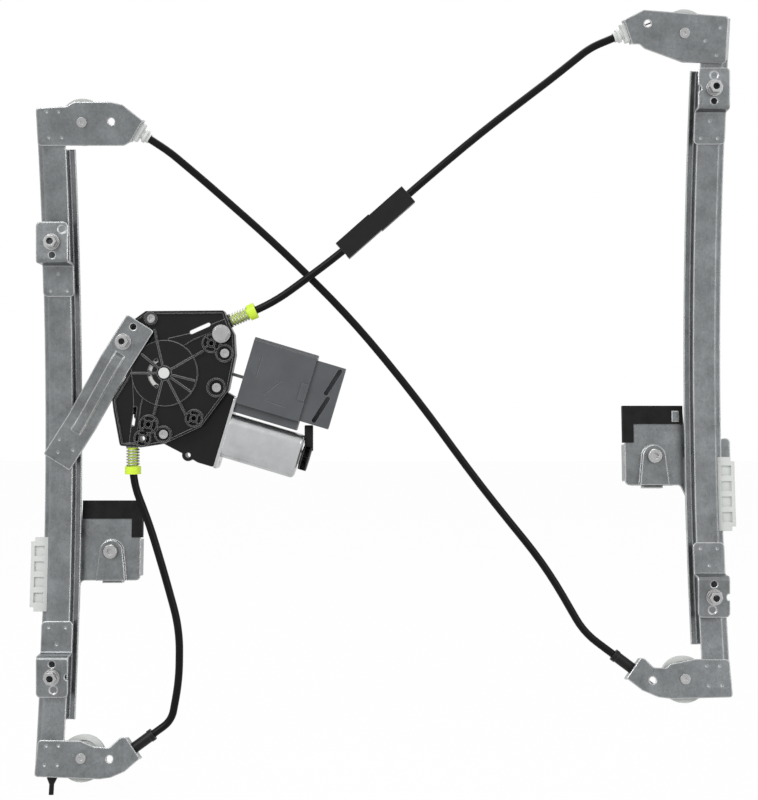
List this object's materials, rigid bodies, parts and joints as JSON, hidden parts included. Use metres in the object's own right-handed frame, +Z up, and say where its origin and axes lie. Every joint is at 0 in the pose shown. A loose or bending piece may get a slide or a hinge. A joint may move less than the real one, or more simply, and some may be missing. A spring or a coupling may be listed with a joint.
{
  "type": "car door window regulator",
  "caption": "Electric window regulator: curved rails with cable-driven carriers, rubber-lined glass clamps, a geared motor with a control module and sheathed cables.",
  "frame": {"origin": "seat of the lower left fixing nut, on the plane that meets the door's inner panel, on the nut's axis", "axes": "+X along the door from the left rail to the right rail seen from the cabin, +Y from the cabin outwards, +Z up"},
  "size_m": [0.638, 0.0704, 0.6927],
  "materials": {
    "zinc_steel": "zinc-coated pressed sheet",
    "white_plastic": "natural moulded acetal",
    "black_plastic": "black moulded plastic",
    "housing_plastic": "black moulded plastic with a satin shine",
    "module_plastic": "dark grey moulded plastic",
    "drum_plastic": "natural moulded plastic",
    "bright_steel": "bright zinc-plated steel",
    "zinc_alloy": "die-cast zinc alloy",
    "black_rubber": "black moulded rubber",
    "cable_steel": "stranded steel cable",
    "conduit_black": "black cable conduit",
    "spring_steel": "spring steel wire",
    "yellow_plastic": "yellow-green moulded plastic",
    "motor_steel": "drawn steel can, zinc-coated",
    "magnet": "ferrite magnet",
    "armature_copper": "wound armature",
    "board_green": "circuit board"
  },
  "bodies": {
    "frame": {"left_rail": "zinc_steel", "right_rail": "zinc_steel", "upper_left_bracket": "zinc_steel", "lower_left_bracket": "zinc_steel", "upper_right_bracket": "zinc_steel", "lower_right_bracket": "zinc_steel", "upper_left_fixing_plate": "zinc_steel", "lower_left_fixing_plate": "zinc_steel", "upper_right_fixing_plate": "zinc_steel", "lower_right_fixing_plate": "zinc_steel", "motor_strap": "zinc_steel", "cable_ferrules": "white_plastic", "cable_sleeves": "black_plastic", "conduit_clip": "black_plastic", "rail_end_peg": "black_plastic", "pulley_pins": "bright_steel", "flange_nuts": "bright_steel", "housing_screws": "bright_steel", "module_bolt": "bright_steel", "drum_pin": "bright_steel", "cross_cable": "cable_steel", "upper_cable": "cable_steel", "lower_cable": "cable_steel", "cross_conduit": "conduit_black", "upper_conduit": "conduit_black", "lower_conduit": "conduit_black", "conduit_springs": "spring_steel", "conduit_caps": "yellow_plastic", "drum_housing": "housing_plastic", "gear_housing": "housing_plastic", "gear_cover": "bright_steel", "motor_can": "motor_steel", "motor_flange": "motor_steel", "motor_magnets": "magnet", "module_housing": "module_plastic", "module_cover": "module_plastic", "connector_shroud": "module_plastic", "circuit_board": "board_green"},
    "armature": {"worm_shaft": "bright_steel", "motor_armature": "armature_copper"},
    "drum": {"cable_drum": "drum_plastic", "worm_wheel": "drum_plastic", "drive_damper": "black_rubber"},
    "upper_left_pulley": {"upper_left_pulley": "white_plastic"},
    "lower_left_pulley": {"lower_left_pulley": "white_plastic"},
    "upper_right_pulley": {"upper_right_pulley": "white_plastic"},
    "lower_right_pulley": {"lower_right_pulley": "white_plastic"},
    "left_carrier": {"left_slider": "white_plastic", "left_cable_nipples": "zinc_alloy", "left_carrier_plate": "zinc_steel", "left_clamp_jaw": "zinc_steel", "left_clamp_rubber": "black_rubber", "left_clamp_bolt": "bright_steel"},
    "right_carrier": {"right_slider": "white_plastic", "right_cable_nipples": "zinc_alloy", "right_carrier_plate": "zinc_steel", "right_clamp_jaw": "zinc_steel", "right_clamp_rubber": "black_rubber", "right_clamp_bolt": "bright_steel"}
  },
  "joints": [
    {"name": "armature_spin", "type": "hinge", "parent": "frame", "child": "armature", "pos_m": [0.08561, 0.0333, 0.23149], "axis": [0.9583, 0, -0.2857], "range_deg": [-20986, 67791.2]},
    {"name": "drum_turn", "type": "hinge", "parent": "frame", "child": "drum", "pos_m": [0.0965, 0.0211, 0.268], "axis": [0, -1, 0], "range_deg": [-287.48, 928.65]},
    {"name": "upper_left_pulley_turn", "type": "hinge", "parent": "frame", "child": "upper_left_pulley", "pos_m": [0.0263, 0.00323, 0.489], "axis": [0, -0.9779, -0.2092], "range_deg": [-1014.4, 1014.4]},
    {"name": "lower_left_pulley_turn", "type": "hinge", "parent": "frame", "child": "lower_left_pulley", "pos_m": [0.0263, -0.00037, -0.0713], "axis": [0, -0.9751, 0.2218], "range_deg": [-1014.4, 1014.4]},
    {"name": "upper_right_pulley_turn", "type": "hinge", "parent": "frame", "child": "upper_right_pulley", "pos_m": [0.5567, 0.00186, 0.5673], "axis": [0, -0.9768, -0.2141], "range_deg": [-1014.4, 1014.4]},
    {"name": "lower_right_pulley_turn", "type": "hinge", "parent": "frame", "child": "lower_right_pulley", "pos_m": [0.5567, -0.00087, -0.0015], "axis": [0, -0.9747, 0.2235], "range_deg": [-1014.4, 1014.4]},
    {"name": "left_carrier_travel", "type": "hinge", "parent": "frame", "child": "left_carrier", "pos_m": [0, -1.268, 0.217], "axis": [1, 0, 0], "range_deg": [-4.63, 14.99]},
    {"name": "right_carrier_travel", "type": "hinge", "parent": "frame", "child": "right_carrier", "pos_m": [0.583, -1.268, 0.289], "axis": [1, 0, 0], "range_deg": [-4.65, 15.01]}
  ],
  "couplings": [
    {"joint": "armature_spin", "follows": "left_carrier_travel", "ratio": 4519},
    {"joint": "drum_turn", "follows": "left_carrier_travel", "ratio": 61.905},
    {"joint": "upper_left_pulley_turn", "follows": "left_carrier_travel", "ratio": -67.358},
    {"joint": "lower_left_pulley_turn", "follows": "left_carrier_travel", "ratio": -67.358},
    {"joint": "upper_right_pulley_turn", "follows": "left_carrier_travel", "ratio": 67.358},
    {"joint": "lower_right_pulley_turn", "follows": "left_carrier_travel", "ratio": 67.358},
    {"joint": "right_carrier_travel", "follows": "left_carrier_travel", "ratio": 1}
  ]
}
